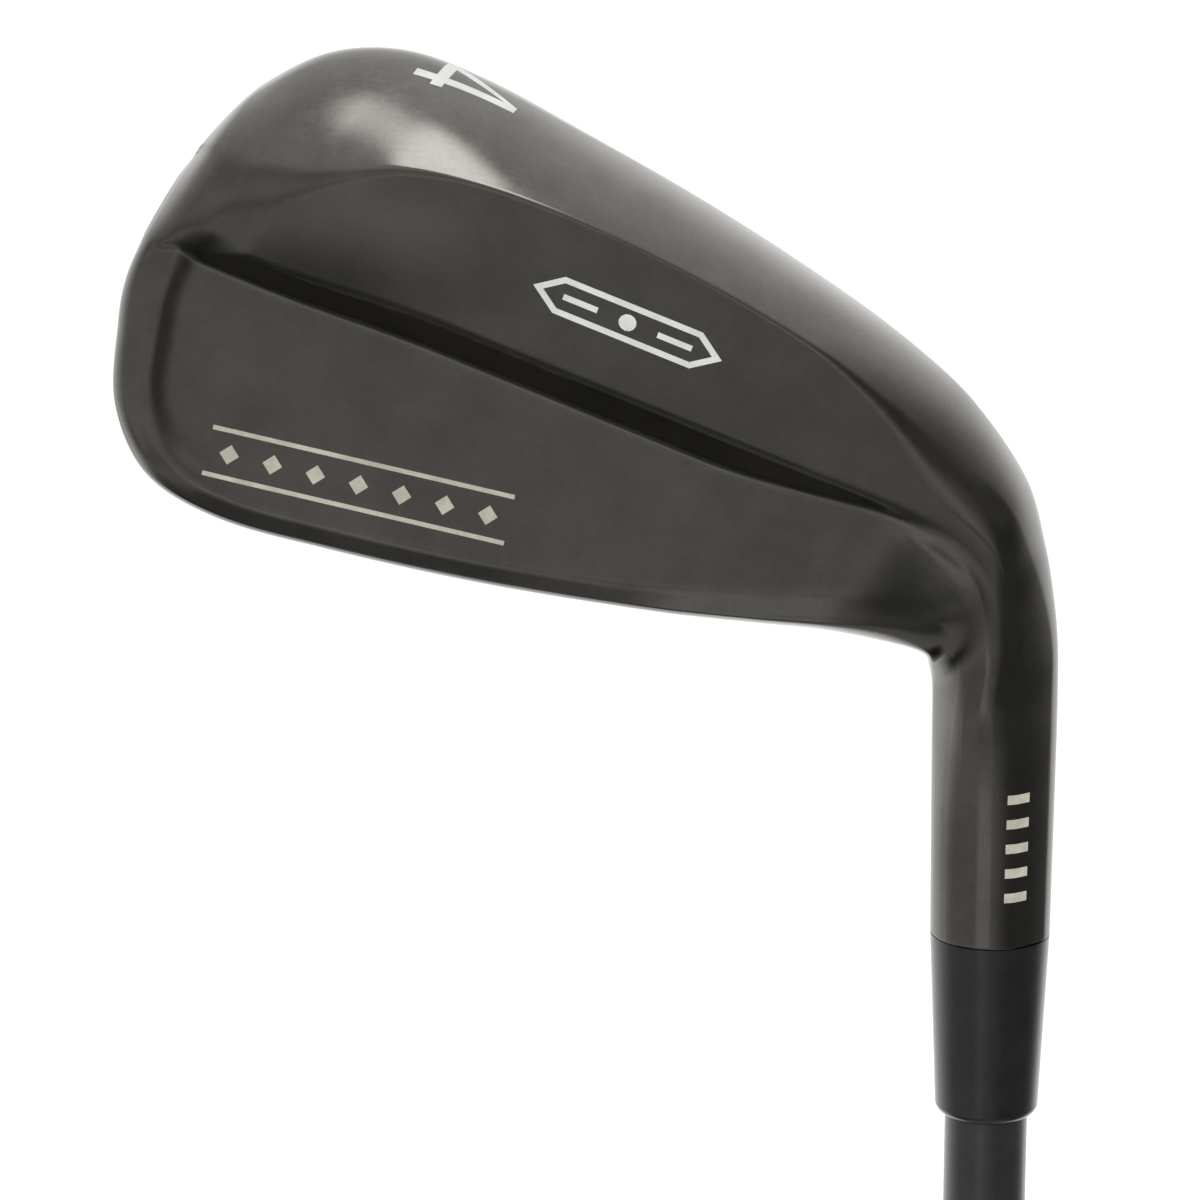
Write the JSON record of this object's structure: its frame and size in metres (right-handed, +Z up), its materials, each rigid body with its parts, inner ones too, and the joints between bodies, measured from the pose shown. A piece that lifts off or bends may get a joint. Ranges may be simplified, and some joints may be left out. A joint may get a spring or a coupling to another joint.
{
  "type": "golf iron",
  "caption": "Right-handed hollow-body driving iron with a dark chrome head, a wide muscle sole, a plain ferrule, a tapered composite shaft and a ribbed rubber grip",
  "frame": {"origin": "centre of the vent hole on the butt end of the grip", "axes": "+Z up the shaft to the head, -X to the toe, -Y to the back of the head, +Y to the target side"},
  "size_m": [0.1101, 0.0343, 1.0193],
  "materials": {
    "black_chrome": "smoked chrome plate",
    "face_steel": "dark satin",
    "tungsten": "machined",
    "damper_rubber": "matte",
    "silver_fill": "satin",
    "champagne_fill": "satin",
    "white_fill": "satin",
    "ferrule_plastic": "polished",
    "epoxy": "cured",
    "plug_brass": "turned",
    "shaft_composite": "clear coated",
    "tape": "paper",
    "grip_rubber": "matte",
    "cap_rubber": "matte"
  },
  "bodies": {
    "root": {"head_body": "black_chrome", "face_plate": "face_steel", "heel_weight": "tungsten", "toe_weight": "tungsten", "damper": "damper_rubber", "muscle_badge": "silver_fill", "blade_inlay": "champagne_fill", "sole_numeral": "white_fill", "hosel_inlay": "champagne_fill", "ferrule": "ferrule_plastic", "hosel_bond": "epoxy", "tip_plug": "plug_brass", "shaft": "shaft_composite", "grip_tape": "tape", "grip": "grip_rubber", "grip_cap": "cap_rubber"}
  },
  "joints": []
}
